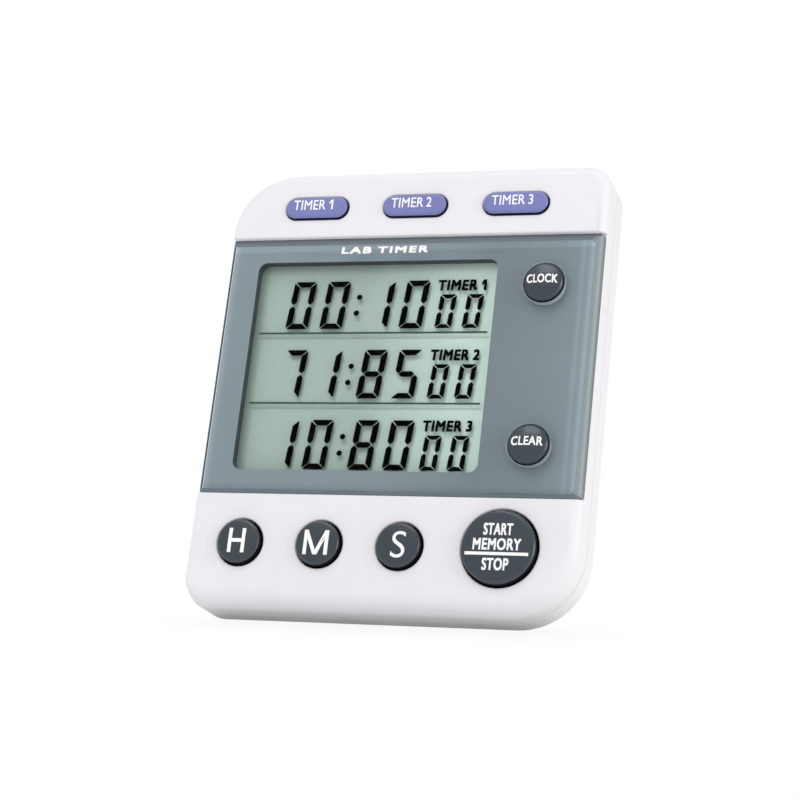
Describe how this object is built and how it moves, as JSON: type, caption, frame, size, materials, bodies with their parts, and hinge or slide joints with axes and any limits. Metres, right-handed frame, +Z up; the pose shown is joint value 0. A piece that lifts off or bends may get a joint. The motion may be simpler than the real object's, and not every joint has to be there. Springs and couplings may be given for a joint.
{
  "type": "lab timer",
  "caption": "Pocket laboratory timer with a stacked liquid crystal display, push buttons, a magnetic back and a fold-out stand.",
  "frame": {"origin": "bottom centre of the bounding box with the stand open: the middle of the patch of bench that the timer stands on", "axes": "+Z up from the bench, +X to the right for a person reading the display, -Y towards that person; the face leans back 19.8 degrees, so its outward normal is (0, -0.941, 0.339)"},
  "size_m": [0.0662, 0.04, 0.0756],
  "materials": {
    "case_white": "satin moulded ABS",
    "lens_clear": "clear polished acrylic",
    "panel_grey": "blue-grey print seen through the lens",
    "bezel_black": "dark foam and plastic",
    "lcd_glass": "polished",
    "lcd_reflector": "pale green-grey reflective film",
    "silicone_grey": "matt silicone rubber",
    "button_slate": "fine satin",
    "button_purple": "satin",
    "board_green": "solder mask",
    "chip_black": "epoxy blob",
    "capacitor_tan": "plain",
    "brass": "plain",
    "wire_black": "insulated wire",
    "wire_red": "insulated wire",
    "cell_jacket": "plain printed jacket",
    "magnet_black": "flexible magnet",
    "steel": "nickel plated"
  },
  "bodies": {
    "housing": {"front_case": "case_white", "rear_case": "case_white", "display_lens": "lens_clear", "lens_print": "panel_grey", "display_bezel": "bezel_black", "lcd_front_glass": "lcd_glass", "lcd_rear_glass": "lcd_glass", "lcd_reflector": "lcd_reflector", "contact_strip_lower": "silicone_grey", "contact_strip_upper": "silicone_grey", "key_mat_lower": "silicone_grey", "key_mat_upper": "silicone_grey", "clock_key_pad": "silicone_grey", "clear_key_pad": "silicone_grey", "circuit_board": "board_green", "controller_chip": "chip_black", "quartz_crystal": "steel", "capacitor_left": "capacitor_tan", "capacitor_right": "capacitor_tan", "board_screw_left": "steel", "board_screw_right": "steel", "board_screw_top": "steel", "piezo_buzzer": "brass", "buzzer_lead_left": "wire_black", "buzzer_lead_right": "wire_red", "battery_cell": "cell_jacket", "battery_contact": "steel", "battery_spring": "steel", "battery_lead_negative": "wire_black", "battery_lead_positive": "wire_red", "magnet_strip": "magnet_black", "stand_hinge_pin": "steel", "case_screw_lower_left": "steel", "case_screw_lower_right": "steel", "case_screw_upper_left": "steel", "case_screw_upper_right": "steel"},
    "timer_1_key": {"timer_1_button": "button_purple"},
    "timer_2_key": {"timer_2_button": "button_purple"},
    "timer_3_key": {"timer_3_button": "button_purple"},
    "clock_key": {"clock_button": "button_slate"},
    "clear_key": {"clear_button": "button_slate"},
    "hour_key": {"hour_button": "button_slate"},
    "minute_key": {"minute_button": "button_slate"},
    "second_key": {"second_button": "button_slate"},
    "start_stop_key": {"start_stop_button": "button_slate"},
    "battery_door": {"battery_door": "case_white"},
    "stand": {"stand": "case_white"}
  },
  "joints": [
    {"name": "timer_1_press", "type": "slide", "parent": "housing", "child": "timer_1_key", "axis": [0, 0.9409, -0.3387], "range_m": [0, 0.0008]},
    {"name": "timer_2_press", "type": "slide", "parent": "housing", "child": "timer_2_key", "axis": [0, 0.9409, -0.3387], "range_m": [0, 0.0008]},
    {"name": "timer_3_press", "type": "slide", "parent": "housing", "child": "timer_3_key", "axis": [0, 0.9409, -0.3387], "range_m": [0, 0.0008]},
    {"name": "clock_press", "type": "slide", "parent": "housing", "child": "clock_key", "axis": [0, 0.9409, -0.3387], "range_m": [0, 0.0008]},
    {"name": "clear_press", "type": "slide", "parent": "housing", "child": "clear_key", "axis": [0, 0.9409, -0.3387], "range_m": [0, 0.0008]},
    {"name": "hour_press", "type": "slide", "parent": "housing", "child": "hour_key", "axis": [0, 0.9409, -0.3387], "range_m": [0, 0.0008]},
    {"name": "minute_press", "type": "slide", "parent": "housing", "child": "minute_key", "axis": [0, 0.9409, -0.3387], "range_m": [0, 0.0008]},
    {"name": "second_press", "type": "slide", "parent": "housing", "child": "second_key", "axis": [0, 0.9409, -0.3387], "range_m": [0, 0.0008]},
    {"name": "start_stop_press", "type": "slide", "parent": "housing", "child": "start_stop_key", "axis": [0, 0.9409, -0.3387], "range_m": [0, 0.0008]},
    {"name": "battery_door_slide", "type": "slide", "parent": "housing", "child": "battery_door", "axis": [1, 0, 0], "range_m": [0, 0.045]},
    {"name": "stand_fold", "type": "hinge", "parent": "housing", "child": "stand", "pos_m": [0, 0.00882, 0.03793], "axis": [1, 0, 0], "range_deg": [-35, 0]}
  ]
}
